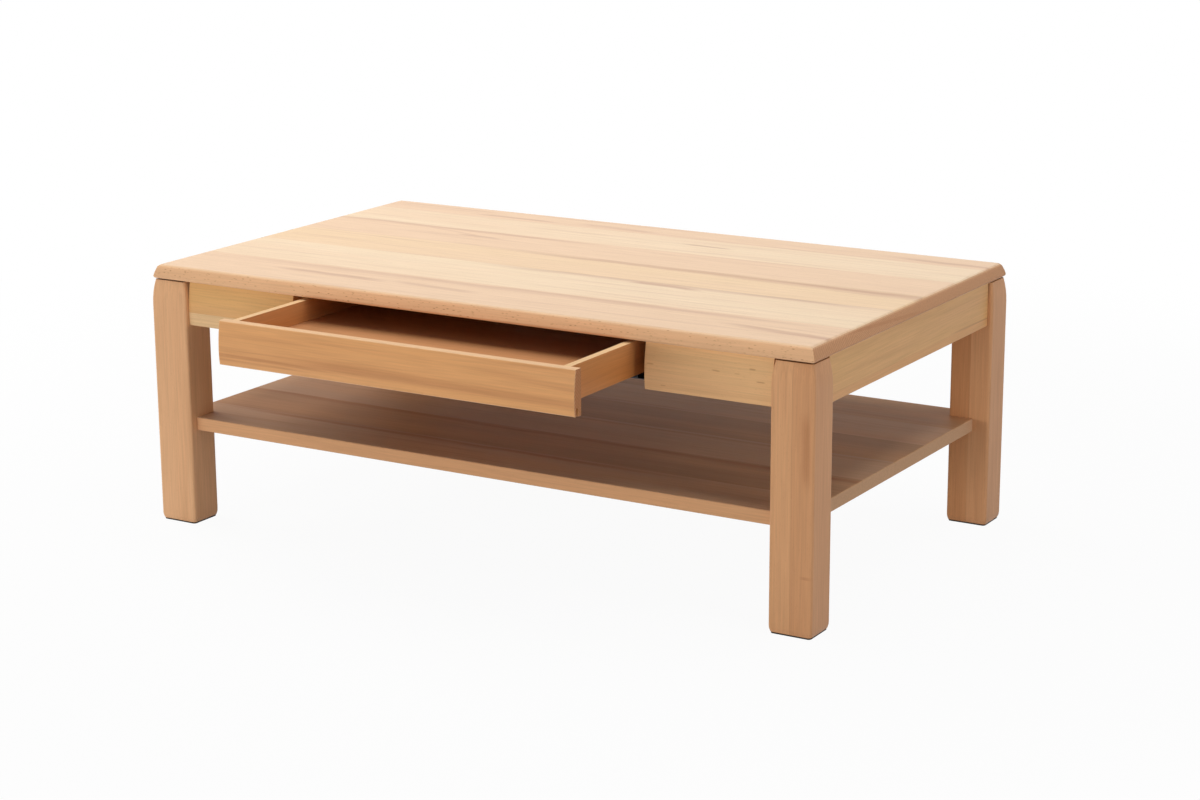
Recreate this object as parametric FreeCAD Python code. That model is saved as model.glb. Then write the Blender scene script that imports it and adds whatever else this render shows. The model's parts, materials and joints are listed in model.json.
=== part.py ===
import FreeCAD, Part
import math
import os

from FreeCAD import Placement, Rotation, Vector

# A low beech table with a bowed front, a lower shelf and one drawer on full-extension runners.
# Millimetres. +X runs along the table to the right, -Y is the front and +Z is up.
# The origin is on the floor, midway between the legs. The drawer stands open by drawer_pull.

# Whole table, over the legs' outer faces
table_length = 1200.0
table_depth = 700.0
table_height = 430.0

# Table top, with an edge that is widest near its underside and slants in above, a little bowed
top_thickness = 22.0
top_reveal = 2.5
top_rim_inset = 7.5
top_lower_inset = 2.0
top_widest_rise = 3.5
top_flank_bow = 0.9

# Legs, whose heads draw in and stop just short of the top, with rounded feet
leg_width = 70.0
leg_depth = 62.0
leg_edge_radius = 5.0
leg_head_height = 40.0
leg_head_inset = 4.5
leg_top_gap = 2.0
leg_foot_height = 10.0
leg_foot_inset = 1.8
leg_curve_steps = 4

# Felt glides under the legs
glide_thickness = 2.5
glide_margin = 2.5

# Aprons with a tenon in each leg: bowed outwards at the front and the back, flat at the ends
apron_height = 73.0
apron_thickness = 26.0
apron_recess = 8.0
apron_rim_inset = 5.6
apron_lower_inset = 1.6
apron_widest_rise = 22.0
apron_edge_radius = 2.5
tenon_length = 20.0
tenon_thickness = 10.0
tenon_setback = 8.0
tenon_shoulder = 14.0
tenon_clearance = 0.1

# Corner blocks, with one hanger bolt, washer and nut each
block_run = 70.0
block_margin = 10.0
bolt_diameter = 8.0
bolt_reach = 38.0
bolt_stand = 4.0
bolt_clearance = 0.3
thread_clearance = 0.1
washer_diameter = 24.0
washer_thickness = 2.0
nut_width = 13.0
nut_height = 6.5
nut_sides = 6

# Lower shelf, notched round the legs
shelf_thickness = 22.0
shelf_top_height = 179.5
shelf_front_inset = 16.0
shelf_end_inset = 28.0
shelf_edge_radius = 2.5
shelf_tenon_length = 12.0
shelf_tenon_thickness = 10.0
shelf_tenon_margin = 6.0

# Drawer opening, drawer front and drawer box
opening_width = 640.0
drawer_end_gap = 3.0
drawer_top_gap = 4.5
drawer_front_thickness = 18.0
drawer_edge_radius = 3.0
grip_lip = 2.5
grip_width = 6.0
grip_depth = 12.0
drawer_length = 450.0
drawer_pull = 189.0
side_thickness = 12.0
side_height = 52.0
back_thickness = 12.0
back_drop = 4.0
bottom_thickness = 6.0
bottom_recess = 12.0
groove_depth = 6.0
groove_clearance = 0.1
tongue_length = 9.0
tongue_thickness = 6.0
tongue_shoulder = 5.0
back_housing = 5.0

# Bearers behind the opening, which carry the runners
bearer_thickness = 30.0
bearer_overhang = 11.5
bearer_lift = 2.0
bearer_tenon_length = 12.0

# Runners under the drawer: cabinet rail, middle rail and drawer rail on each side
runner_length = 450.0
runner_setback = 13.0
runner_gap = 8.0
rail_sheet = 1.5
rail_width = 24.0
rail_side_gap = 2.0
rail_lip = 6.0
rail_split = 1.0
rail_front_gap = 2.0
drawer_rail_height = 13.0
cabinet_channel_height = 9.5
cabinet_flange_height = 34.0
middle_rail_inset = 10.0
middle_neck = 3.0
slide_clearance = 0.3
pad_length = 40.0
lower_pad_shares = (0.52, 0.88)
upper_pad_shares = (0.02, 0.34)

# Locking clips that hold the drawer on its rails
clip_width = 26.0
clip_length = 48.0
clip_drop = 9.0
clip_gap = 1.0
clip_heel_share = 0.4
clip_lever_shares = (0.1, 0.28, 0.42)

# Steel angles that hold the top to the aprons and the bearers
bracket_leg = 28.0
bracket_width = 30.0
bracket_sheet = 2.0
bearer_bracket_share = 0.5
side_bracket_share = 0.38
back_bracket_share = 0.34

# How far a cutter runs past the face that it opens
overrun = 5.0

# Places that several pieces share
half_length = table_length / 2
half_depth = table_depth / 2
half_opening = opening_width / 2
top_underside = table_height - top_thickness
leg_top = top_underside - leg_top_gap
leg_inner_x = half_length - leg_width
leg_inner_y = half_depth - leg_depth
apron_low = top_underside - apron_height
apron_face_x = half_length - apron_recess
apron_face_y = half_depth - apron_recess
apron_back_x = apron_face_x - apron_thickness
apron_back_y = apron_face_y - apron_thickness
shelf_underside = shelf_top_height - shelf_thickness

drawer_front_top = top_underside - drawer_top_gap
drawer_front_back = drawer_front_thickness - apron_face_y
side_low = drawer_front_top - side_height
bottom_low = side_low + bottom_recess
bottom_high = bottom_low + bottom_thickness
back_top = drawer_front_top - back_drop
drawer_rear = drawer_front_back + drawer_length
bearer_inner = half_opening - bearer_overhang
bearer_outer = bearer_inner + bearer_thickness
side_outer = bearer_inner - runner_gap
side_inner = side_outer - side_thickness

rail_outer = side_inner - rail_side_gap
rail_inner = rail_outer - rail_width
drawer_rail_low = bottom_low - drawer_rail_height
channel_top = drawer_rail_low - rail_split
channel_low = channel_top - cabinet_channel_height
cabinet_rail_low = channel_low - rail_sheet
cabinet_rail_front = runner_setback - apron_back_y
drawer_rail_front = drawer_front_back + rail_front_gap
middle_rail_front = cabinet_rail_front + middle_rail_inset
middle_rail_length = runner_length - 2 * middle_rail_inset
middle_low_top = channel_top - rail_sheet - slide_clearance
middle_high_low = drawer_rail_low + rail_sheet + slide_clearance

CORNERS = {
    "front_right": (),
    "front_left": ("x",),
    "back_right": ("y",),
    "back_left": ("x", "y"),
}
SIDES = {"right": (), "left": ("x",)}
MIRROR_NORMALS = {"x": Vector(1, 0, 0), "y": Vector(0, 1, 0)}


def box(x_span, y_span, z_span):
    """A box from its span along each axis."""
    spans = (x_span, y_span, z_span)
    low = Vector(*[min(span) for span in spans])
    size = Vector(*[max(span) for span in spans]) - low
    return Part.makeBox(size.x, size.y, size.z, low)


def solid_from_edges(edges, run):
    """The solid that a closed outline sweeps along a straight run."""
    return Part.Face(Part.Wire(Part.__sortEdges__(edges))).extrude(run)


def solid_from_points(points, run):
    """The solid that a closed polygon sweeps along a straight run."""
    return Part.Face(Part.makePolygon(points + points[:1])).extrude(run)


def mirrored(shape, axes):
    """The shape mirrored across the table's middle planes."""
    for axis in axes:
        shape = shape.mirror(Vector(0, 0, 0), MIRROR_NORMALS[axis])
    return shape


def moved_y(shape, distance):
    """The shape moved along the drawer's travel."""
    shape = shape.copy()
    shape.translate(Vector(0, distance, 0))
    return shape


def cut_all(shape, tools):
    """The shape with every tool cut out of it."""
    for tool in tools:
        shape = shape.cut(tool)
    return shape


def bow_arc(place, widest, end):
    """An arc that is upright at its widest point and draws in to its end, given as (out, up) pairs."""
    inset = widest[0] - end[0]
    rise = end[1] - widest[1]
    radius = (inset**2 + rise**2) / (2 * inset)
    half_turn = math.asin(rise / radius) / 2
    middle_out = widest[0] - radius * (1 - math.cos(half_turn))
    middle_up = widest[1] + radius * math.sin(half_turn)
    return Part.Arc(place(*widest), place(middle_out, middle_up), place(*end)).toShape()


def bulged_arc(place, start, end, bulge):
    """An arc that stands out by its bulge from the straight line between two (out, up) pairs."""
    run_out = end[0] - start[0]
    run_up = end[1] - start[1]
    length = math.hypot(run_out, run_up)
    middle_out = (start[0] + end[0]) / 2 + bulge * run_up / length
    middle_up = (start[1] + end[1]) / 2 - bulge * run_out / length
    return Part.Arc(place(*start), place(middle_out, middle_up), place(*end)).toShape()


def top_bar(half_width, place, run):
    """A bar with the top's edge on both sides: rounded below its widest line and slanting in above it."""
    low = (half_width - top_lower_inset, top_underside)
    widest = (half_width, top_underside + top_widest_rise)
    high = (half_width - top_rim_inset, table_height)

    def place_left(out, up):
        return place(-out, up)

    edges = [Part.makeLine(place(*end), place_left(*end)) for end in (low, high)]
    for side in (place, place_left):
        edges.append(bow_arc(side, widest, low))
        edges.append(bulged_arc(side, widest, high, top_flank_bow))
    return solid_from_edges(edges, run)


def make_table_top():
    """Two bars at right angles share the slab, with mitred corners."""
    half_x = half_length - top_reveal
    half_y = half_depth - top_reveal
    start_x = -half_x - overrun
    start_y = -half_y - overrun
    along_x = top_bar(half_y, lambda out, up: Vector(start_x, out, up), Vector(-2 * start_x, 0, 0))
    along_y = top_bar(half_x, lambda out, up: Vector(out, start_y, up), Vector(0, -2 * start_y, 0))
    return along_x.common(along_y)


def rounded_block(half_x, half_y, z_span, radius):
    """An upright block with rounded corners, about the Z axis."""
    block = box((-half_x, half_x), (-half_y, half_y), z_span)
    upright = [edge for edge in block.Edges if abs(edge.tangentAt(edge.FirstParameter).z) == 1]
    return block.makeFillet(radius, upright)


def tenon_front(clearance):
    """The tenon between the front apron and the right front leg, or its mortise with a clearance."""
    inner = apron_back_y + tenon_setback - clearance
    outer = apron_back_y + tenon_setback + tenon_thickness + clearance
    x_span = (leg_inner_x, leg_inner_x + tenon_length + clearance)
    z_span = (apron_low + tenon_shoulder - clearance, top_underside - tenon_shoulder + clearance)
    return box(x_span, (-outer, -inner), z_span)


def tenon_side(clearance):
    """The tenon between the right apron and the right front leg, or its mortise with a clearance."""
    inner = apron_back_x + tenon_setback - clearance
    outer = apron_back_x + tenon_setback + tenon_thickness + clearance
    y_span = (-leg_inner_y, -leg_inner_y - tenon_length - clearance)
    z_span = (apron_low + tenon_shoulder - clearance, top_underside - tenon_shoulder + clearance)
    return box((inner, outer), y_span, z_span)


def tenon_bearer(clearance):
    """The tenon between the right bearer and the front apron piece, or its mortise with a clearance."""
    middle = (half_opening + bearer_outer) / 2
    half_x = tenon_thickness / 2 + clearance
    y_span = (-apron_back_y, -apron_back_y - bearer_tenon_length - clearance)
    z_span = (apron_low + tenon_shoulder - clearance, top_underside - tenon_shoulder + clearance)
    return box((middle - half_x, middle + half_x), y_span, z_span)


def tenon_shelf(clearance):
    """The tenon between the shelf and the right front leg, or its mortise with a clearance."""
    inner = leg_inner_y + shelf_tenon_margin - clearance
    outer = half_depth - shelf_front_inset - shelf_tenon_margin + clearance
    x_span = (leg_inner_x, leg_inner_x + shelf_tenon_length + clearance)
    middle = (shelf_underside + shelf_top_height) / 2
    half_z = shelf_tenon_thickness / 2 + clearance
    return box(x_span, (-outer, -inner), (middle - half_z, middle + half_z))


def block_ends():
    """The two ends of the corner block's diagonal face, in the right front corner."""
    middle = (apron_low + top_underside) / 2
    on_front = Vector(leg_inner_x - block_run, -apron_back_y, middle)
    on_side = Vector(apron_back_x, block_run - leg_inner_y, middle)
    return on_front, on_side


def bolt_line():
    """The bolt's direction into the leg, its seat on the block and its depth from there to the leg."""
    on_front, on_side = block_ends()
    across = on_side - on_front
    into_leg = Vector(across.y, -across.x, 0).normalize()
    leg_edge = Vector(leg_inner_x, -leg_inner_y, on_front.z)
    depth = (leg_edge - on_front).dot(into_leg)
    return into_leg, leg_edge - into_leg * depth, depth


def bolt_rod(radius):
    """The hanger bolt's cylinder, from its free end to its tip in the leg."""
    into_leg, seat, depth = bolt_line()
    back = washer_thickness + nut_height + bolt_stand
    return Part.makeCylinder(radius, back + depth + bolt_reach, seat - into_leg * back, into_leg)


def leg_outline(inset, height):
    """The leg's rounded outline at a height, drawn in on all sides by an inset."""
    half_x = leg_width / 2 - inset
    half_y = leg_depth / 2 - inset
    slice_of_leg = rounded_block(half_x, half_y, (height, height + overrun), leg_edge_radius)
    return min(slice_of_leg.Faces, key=lambda face: face.CenterOfMass.z).OuterWire


def arc_inset(inset, height, share):
    """How far an arc that starts upright has drawn in at a share of its height."""
    radius = (inset**2 + height**2) / (2 * inset)
    return radius - math.sqrt(radius**2 - (share * height) ** 2)


def make_leg():
    """The right front leg with its rounded foot, its drawn-in head, its mortises and its bolt hole."""
    shares = [step / leg_curve_steps for step in range(leg_curve_steps + 1)]
    ankle = glide_thickness + leg_foot_height
    neck = leg_top - leg_head_height
    outlines = []
    for share in reversed(shares):
        inset = arc_inset(leg_foot_inset, leg_foot_height, share)
        outlines.append(leg_outline(inset, ankle - share * leg_foot_height))
    for share in shares:
        inset = arc_inset(leg_head_inset, leg_head_height, share)
        outlines.append(leg_outline(inset, neck + share * leg_head_height))
    leg = Part.makeLoft(outlines, True, True)
    leg.translate(Vector(half_length - leg_width / 2, leg_depth / 2 - half_depth, 0))
    mortises = [tenon(tenon_clearance) for tenon in (tenon_front, tenon_side, tenon_shelf)]
    return cut_all(leg, mortises + [bolt_rod(bolt_diameter / 2 + thread_clearance)])


def make_glide():
    """The pad under the right front leg."""
    half_x = leg_width / 2 - glide_margin
    half_y = leg_depth / 2 - glide_margin
    glide = rounded_block(half_x, half_y, (0, glide_thickness), leg_edge_radius)
    glide.translate(Vector(half_length - leg_width / 2, leg_depth / 2 - half_depth, 0))
    return glide


def front_bar(start_x, end_x, back):
    """A stretch of the front apron's bowed profile between two places along the table."""
    low = (apron_face_y - apron_lower_inset, apron_low)
    widest = (apron_face_y, apron_low + apron_widest_rise)
    high = (apron_face_y - apron_rim_inset, top_underside)

    def place(out, up):
        return Vector(start_x, -out, up)

    edges = [bow_arc(place, widest, low), bow_arc(place, widest, high)]
    edges.append(Part.makeLine(place(*high), place(back, top_underside)))
    edges.append(Part.makeLine(place(back, top_underside), place(back, apron_low)))
    edges.append(Part.makeLine(place(back, apron_low), place(*low)))
    return solid_from_edges(edges, Vector(end_x - start_x, 0, 0))


def face_edges(bar, back):
    """The edges round a front bar's bowed face, without the line where its two arcs meet."""
    chosen = []
    for edge in bar.Edges:
        outs = [-vertex.Point.y for vertex in edge.Vertexes]
        at_back = any(math.isclose(out, back) for out in outs)
        at_widest = all(math.isclose(out, apron_face_y) for out in outs)
        if not at_back and not at_widest:
            chosen.append(edge)
    return chosen


def lower_edges(edges):
    """The edges that run level along an apron's underside."""
    return [edge for edge in edges if math.isclose(edge.CenterOfMass.z, apron_low)]


def front_apron_bar(start_x, end_x):
    """A stretch of the front apron with its lower edge rounded."""
    bar = front_bar(start_x, end_x, apron_back_y)
    return bar.makeFillet(apron_edge_radius, lower_edges(face_edges(bar, apron_back_y)))


def make_front_apron():
    """The fixed front piece to the right of the drawer."""
    bar = front_apron_bar(half_opening, leg_inner_x)
    return bar.fuse(tenon_front(0)).removeSplitter().cut(tenon_bearer(tenon_clearance))


def make_back_apron():
    """The back apron, the front's profile all the way across, with a tenon at each end."""
    bar = front_apron_bar(-leg_inner_x, leg_inner_x)
    apron = bar.fuse([mirrored(tenon_front(0), axes) for axes in SIDES.values()]).removeSplitter()
    mortises = [mirrored(tenon_bearer(tenon_clearance), axes) for axes in SIDES.values()]
    return mirrored(cut_all(apron, mortises), ("y",))


def make_side_apron():
    """The right apron, a flat board with its lower outer edge rounded and a tenon at each end."""
    board = box((apron_back_x, apron_face_x), (-leg_inner_y, leg_inner_y), (apron_low, top_underside))
    outer = [edge for edge in board.Edges if math.isclose(edge.CenterOfMass.x, apron_face_x)]
    board = board.makeFillet(apron_edge_radius, lower_edges(outer))
    return board.fuse([tenon_side(0), mirrored(tenon_side(0), ("y",))]).removeSplitter()


def make_corner_block():
    """The right front block, from apron to apron round the leg's inner edge."""
    on_front, on_side = block_ends()
    low = apron_low + block_margin
    plan = [
        (on_front.x, on_front.y),
        (leg_inner_x, -apron_back_y),
        (leg_inner_x, -leg_inner_y),
        (apron_back_x, -leg_inner_y),
        (on_side.x, on_side.y),
    ]
    height = top_underside - block_margin - low
    block = solid_from_points([Vector(x, y, low) for x, y in plan], Vector(0, 0, height))
    return block.cut(bolt_rod(bolt_diameter / 2 + bolt_clearance))


def make_washer():
    """The washer on the right front block."""
    into_leg, seat, depth = bolt_line()
    foot = seat - into_leg * washer_thickness
    disc = Part.makeCylinder(washer_diameter / 2, washer_thickness, foot, into_leg)
    return disc.cut(bolt_rod(bolt_diameter / 2 + bolt_clearance))


def make_nut():
    """The hexagon nut on the right front washer."""
    into_leg, seat, depth = bolt_line()
    corner_radius = nut_width / 2 / math.cos(math.pi / nut_sides)
    turns = [2 * math.pi * index / nut_sides for index in range(nut_sides)]
    outline = [Vector(corner_radius * math.cos(turn), corner_radius * math.sin(turn), 0) for turn in turns]
    nut = solid_from_points(outline, Vector(0, 0, nut_height))
    foot = seat - into_leg * (washer_thickness + nut_height)
    nut.Placement = Placement(foot, Rotation(Vector(0, 0, 1), into_leg))
    return nut.cut(bolt_rod(bolt_diameter / 2 + thread_clearance))


def make_bearer():
    """The right bearer, with a tenon in the front apron piece and one in the back apron."""
    z_span = (apron_low + bearer_lift, top_underside)
    bearer = box((bearer_inner, bearer_outer), (-apron_back_y, apron_back_y), z_span)
    return bearer.fuse([tenon_bearer(0), mirrored(tenon_bearer(0), ("y",))]).removeSplitter()


def make_shelf():
    """The lower board, notched square round the legs, with eased outer edges and a tenon in each leg."""
    half_x = half_length - shelf_end_inset
    half_y = half_depth - shelf_front_inset
    z_span = (shelf_underside, shelf_top_height)
    shelf = box((-half_x, half_x), (-half_y, half_y), z_span)
    notch = box((leg_inner_x, half_x + overrun), (-leg_inner_y, -half_y - overrun), z_span)
    shelf = cut_all(shelf, [mirrored(notch, axes) for axes in CORNERS.values()])
    eased = []
    for edge in shelf.Edges:
        middle = edge.CenterOfMass
        level = abs(edge.tangentAt(edge.FirstParameter).z) < 1
        on_rim = math.isclose(abs(middle.x), half_x) or math.isclose(abs(middle.y), half_y)
        if level and on_rim:
            eased.append(edge)
    shelf = shelf.makeFillet(shelf_edge_radius, eased)
    return shelf.fuse([mirrored(tenon_shelf(0), axes) for axes in CORNERS.values()]).removeSplitter()


def side_tongue(clearance):
    """The tongue between the right drawer side and the front, or its groove with a clearance."""
    middle = (side_inner + side_outer) / 2
    half_x = tongue_thickness / 2 + clearance
    y_span = (drawer_front_back, drawer_front_back - tongue_length - clearance)
    z_span = (bottom_high + tongue_shoulder - clearance, drawer_front_top - tongue_shoulder + clearance)
    return box((middle - half_x, middle + half_x), y_span, z_span)


def back_board(clearance):
    """The drawer's back, or the housings in the sides that hold it with a clearance."""
    half_x = side_inner + back_housing + clearance
    y_span = (drawer_rear - back_thickness - clearance, drawer_rear + clearance)
    return box((-half_x, half_x), y_span, (bottom_high - clearance, back_top + clearance))


def bottom_panel(clearance):
    """The drawer's bottom, or the groove that it sits in with a clearance."""
    half_x = side_inner + groove_depth + clearance
    y_span = (drawer_front_back - groove_depth - clearance, drawer_rear + clearance)
    return box((-half_x, half_x), y_span, (bottom_low - clearance, bottom_high + clearance))


def grip_groove():
    """The groove in the front's underside that the fingers pull by, open at both ends."""
    lip_back = apron_face_y - apron_lower_inset - grip_lip
    x_span = (-half_opening - overrun, half_opening + overrun)
    return box(x_span, (-lip_back, grip_width - lip_back), (apron_low - overrun, apron_low + grip_depth))


def make_drawer_front():
    """The drawer's front, of the aprons' profile so that it closes flush, with the face's edges rounded."""
    half_width = half_opening - drawer_end_gap
    bar = front_bar(-half_width, half_width, -drawer_front_back)
    ceiling = box(
        (-half_width - overrun, half_width + overrun),
        (-half_depth, half_depth),
        (drawer_front_top, top_underside + overrun),
    )
    front = bar.cut(ceiling)
    front = front.makeFillet(drawer_edge_radius, face_edges(front, -drawer_front_back))
    grooves = [mirrored(side_tongue(groove_clearance), axes) for axes in SIDES.values()]
    return cut_all(front, [bottom_panel(groove_clearance), grip_groove()] + grooves)


def make_drawer_side():
    """The right drawer side, grooved for the bottom, housed for the back and tongued into the front."""
    side = box((side_inner, side_outer), (drawer_front_back, drawer_rear), (side_low, drawer_front_top))
    side = side.fuse(side_tongue(0)).removeSplitter()
    return cut_all(side, [bottom_panel(groove_clearance), back_board(groove_clearance)])


def channel_points(place, web, lips):
    """A lipped channel's outline, from its web's outer height and its lips' outer height."""
    inward = 1 if lips > web else -1
    web_inside = web + inward * rail_sheet
    lip_inside = lips - inward * rail_sheet
    left = [
        (rail_inner, web),
        (rail_inner, lips),
        (rail_inner + rail_lip, lips),
        (rail_inner + rail_lip, lip_inside),
        (rail_inner + rail_sheet, lip_inside),
        (rail_inner + rail_sheet, web_inside),
    ]
    right = [(rail_inner + rail_outer - x, z) for x, z in reversed(left)]
    return [place(x, z) for x, z in left + right]


def make_cabinet_rail():
    """The right runner's fixed member: a lipped channel on an angle that is screwed to the bearer."""
    run = Vector(0, runner_length, 0)

    def place(x, z):
        return Vector(x, cabinet_rail_front, z)

    channel = solid_from_points(channel_points(place, channel_low, channel_top), run)
    angle = [
        (rail_inner, cabinet_rail_low),
        (bearer_inner, cabinet_rail_low),
        (bearer_inner, cabinet_rail_low + cabinet_flange_height),
        (bearer_inner - rail_sheet, cabinet_rail_low + cabinet_flange_height),
        (bearer_inner - rail_sheet, channel_low),
        (rail_inner, channel_low),
    ]
    bracket = solid_from_points([place(x, z) for x, z in angle], run)
    return bracket.fuse(channel).removeSplitter()


def make_drawer_rail():
    """The right runner's drawer member: a lipped channel, open below, under the whole drawer's bottom."""
    run = Vector(0, drawer_rear - drawer_rail_front, 0)

    def place(x, z):
        return Vector(x, drawer_rail_front, z)

    return solid_from_points(channel_points(place, bottom_low, drawer_rail_low), run)


def middle_span():
    """The width that the middle rail and its pads take inside both channels."""
    margin = rail_sheet + slide_clearance
    return rail_inner + margin, rail_outer - margin


def make_middle_rail():
    """The right runner's middle member: an I section held by the lips of both channels."""
    low_x, high_x = middle_span()
    centre = (low_x + high_x) / 2
    neck_low = centre - middle_neck / 2
    neck_high = centre + middle_neck / 2
    outline = [
        (low_x, middle_low_top - rail_sheet),
        (high_x, middle_low_top - rail_sheet),
        (high_x, middle_low_top),
        (neck_high, middle_low_top),
        (neck_high, middle_high_low),
        (high_x, middle_high_low),
        (high_x, middle_high_low + rail_sheet),
        (low_x, middle_high_low + rail_sheet),
        (low_x, middle_high_low),
        (neck_low, middle_high_low),
        (neck_low, middle_low_top),
        (low_x, middle_low_top),
    ]
    points = [Vector(x, middle_rail_front, z) for x, z in outline]
    return solid_from_points(points, Vector(0, middle_rail_length, 0))


def make_slide_pads():
    """The pads that fill both channels above and below the right middle rail."""
    lower = (channel_low + rail_sheet + slide_clearance, middle_low_top - rail_sheet)
    upper = (middle_high_low + rail_sheet, bottom_low - rail_sheet - slide_clearance)
    pads = []
    for z_span, shares in ((lower, lower_pad_shares), (upper, upper_pad_shares)):
        for share in shares:
            start = middle_rail_front + share * middle_rail_length
            pads.append(box(middle_span(), (start, start + pad_length), z_span))
    return pads


def make_lock_clip():
    """The right locking clip, under the drawer's bottom beside the rail, with its lever turned down."""
    heel = bottom_low - clip_heel_share * bottom_recess
    toe, knee, root = [share * clip_length for share in clip_lever_shares]
    outline = [
        (0, bottom_low),
        (clip_length, bottom_low),
        (clip_length, heel),
        (root, side_low),
        (knee, side_low - clip_drop),
        (toe, side_low - clip_drop),
        (0, side_low),
    ]
    start_x = rail_inner - clip_gap
    points = [Vector(start_x, drawer_front_back + y, z) for y, z in outline]
    return solid_from_points(points, Vector(-clip_width, 0, 0))


def angle_bracket(corner, inward):
    """A steel angle below a board: one leg against an upright face, the other under the board."""
    along = inward.cross(Vector(0, 0, 1))
    start = corner - along * (bracket_width / 2)
    outline = [
        (0, 0),
        (bracket_leg, 0),
        (bracket_leg, bracket_sheet),
        (bracket_sheet, bracket_sheet),
        (bracket_sheet, bracket_leg),
        (0, bracket_leg),
    ]
    points = [start + inward * out - Vector(0, 0, down) for out, down in outline]
    return solid_from_points(points, along * bracket_width)


def make_top_brackets():
    """The angles under the top: one on each bearer, two on each side apron and two on the back apron."""
    bearer_y = bearer_bracket_share * apron_back_y
    bearer = angle_bracket(Vector(bearer_outer, -bearer_y, top_underside), Vector(1, 0, 0))
    side_y = side_bracket_share * leg_inner_y
    side = angle_bracket(Vector(apron_back_x, -side_y, top_underside), Vector(-1, 0, 0))
    back_x = back_bracket_share * bearer_inner
    back = angle_bracket(Vector(back_x, apron_back_y, top_underside), Vector(0, -1, 0))
    pairs = [(bearer, SIDES), (side, CORNERS), (back, SIDES)]
    return [mirrored(shape, axes) for shape, places in pairs for axes in places.values()]


def save(node, shapes):
    """Writes one node's solids."""
    shape = shapes[0] if len(shapes) == 1 else Part.makeCompound(shapes)
    shape.exportStep(f"parts/{node}.step")


def save_mirrored(name, shape, places):
    """Writes a piece and its mirror images, each as its own node."""
    for place, axes in places.items():
        save(f"{name}_{place}", [mirrored(shape, axes)])


def save_group(node, shapes, places):
    """Writes solids and their mirror images as one node."""
    save(node, [mirrored(shape, axes) for axes in places.values() for shape in shapes])


def build_frame():
    """Everything that stands still."""
    save("table_top", [make_table_top()])
    save_mirrored("leg", make_leg(), CORNERS)
    save_mirrored("glide", make_glide(), CORNERS)
    save_mirrored("front_apron", make_front_apron(), SIDES)
    save("back_apron", [make_back_apron()])
    side_apron = make_side_apron()
    save("right_apron", [side_apron])
    save("left_apron", [mirrored(side_apron, ("x",))])
    save_mirrored("corner_block", make_corner_block(), CORNERS)
    save_group("leg_bolts", [bolt_rod(bolt_diameter / 2)], CORNERS)
    save_group("leg_washers", [make_washer()], CORNERS)
    save_group("leg_nuts", [make_nut()], CORNERS)
    save_mirrored("bearer", make_bearer(), SIDES)
    save("shelf", [make_shelf()])
    save("top_brackets", make_top_brackets())
    save_mirrored("cabinet_rail", make_cabinet_rail(), SIDES)


def build_middle_rails():
    """The middle rails, which travel half as far as the drawer."""
    travel = -drawer_pull / 2
    save_mirrored("middle_rail", moved_y(make_middle_rail(), travel), SIDES)
    pads = [moved_y(pad, travel) for pad in make_slide_pads()]
    for side, axes in SIDES.items():
        save(f"slide_pads_{side}", [mirrored(pad, axes) for pad in pads])


def build_drawer():
    """The drawer with its rails and clips, pulled open."""
    save("drawer_front", [moved_y(make_drawer_front(), -drawer_pull)])
    save_mirrored("drawer_side", moved_y(make_drawer_side(), -drawer_pull), SIDES)
    save("drawer_back", [moved_y(back_board(0), -drawer_pull)])
    save("drawer_bottom", [moved_y(bottom_panel(0), -drawer_pull)])
    save_mirrored("drawer_rail", moved_y(make_drawer_rail(), -drawer_pull), SIDES)
    save_mirrored("lock_clip", moved_y(make_lock_clip(), -drawer_pull), SIDES)


os.makedirs("parts", exist_ok=True)
build_frame()
build_middle_rails()
build_drawer()
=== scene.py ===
import json
import math
from typing import NamedTuple

import bmesh
import bpy
from bpy.props import FloatProperty, FloatVectorProperty, PointerProperty
from bpy.types import Operator, Panel, PropertyGroup
from mathutils import Matrix, Vector


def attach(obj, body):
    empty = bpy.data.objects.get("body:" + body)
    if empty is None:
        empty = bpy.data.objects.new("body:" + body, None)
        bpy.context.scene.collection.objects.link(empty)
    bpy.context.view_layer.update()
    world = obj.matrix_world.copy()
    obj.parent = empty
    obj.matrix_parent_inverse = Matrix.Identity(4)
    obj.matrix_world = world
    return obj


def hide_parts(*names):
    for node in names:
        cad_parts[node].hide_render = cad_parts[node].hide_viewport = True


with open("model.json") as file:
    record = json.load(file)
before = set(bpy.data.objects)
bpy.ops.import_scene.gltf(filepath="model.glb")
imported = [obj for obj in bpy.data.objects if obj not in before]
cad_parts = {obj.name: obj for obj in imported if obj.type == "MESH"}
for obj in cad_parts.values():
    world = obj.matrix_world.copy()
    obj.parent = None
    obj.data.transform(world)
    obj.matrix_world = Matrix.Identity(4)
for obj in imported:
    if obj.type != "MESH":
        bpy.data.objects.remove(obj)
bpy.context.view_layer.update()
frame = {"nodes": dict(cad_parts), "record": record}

bl_info = {
    "name": "Coffee Table with Drawer",
    "version": (1, 0, 0),
    "blender": (4, 5, 0),
    "location": "View3D > Sidebar > Coffee Table",
    "description": "Dresses a beech coffee table, adds its screws and sets up a studio",
    "category": "Object",
}

MM = 0.001

# Which body each CAD node rides on
BODY_OF = {node: body for body, nodes in frame["record"]["behaviour"]["bodies"].items() for node in nodes}
CORNERS = ("front_right", "front_left", "back_right", "back_left")
SIDES = ("right", "left")


def linear(colour):
    """An sRGB hex colour as linear red, green and blue."""
    channels = [int(colour[start : start + 2], 16) / 255 for start in (1, 3, 5)]
    return tuple(c / 12.92 if c <= 0.04045 else ((c + 0.055) / 1.055) ** 2.4 for c in channels)


def colour_property(name, description, colour):
    """A colour that the user may change, with its default as sRGB hex."""
    return FloatVectorProperty(
        name=name, description=description, subtype="COLOR", size=3, min=0, max=1, default=linear(colour)
    )


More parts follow.
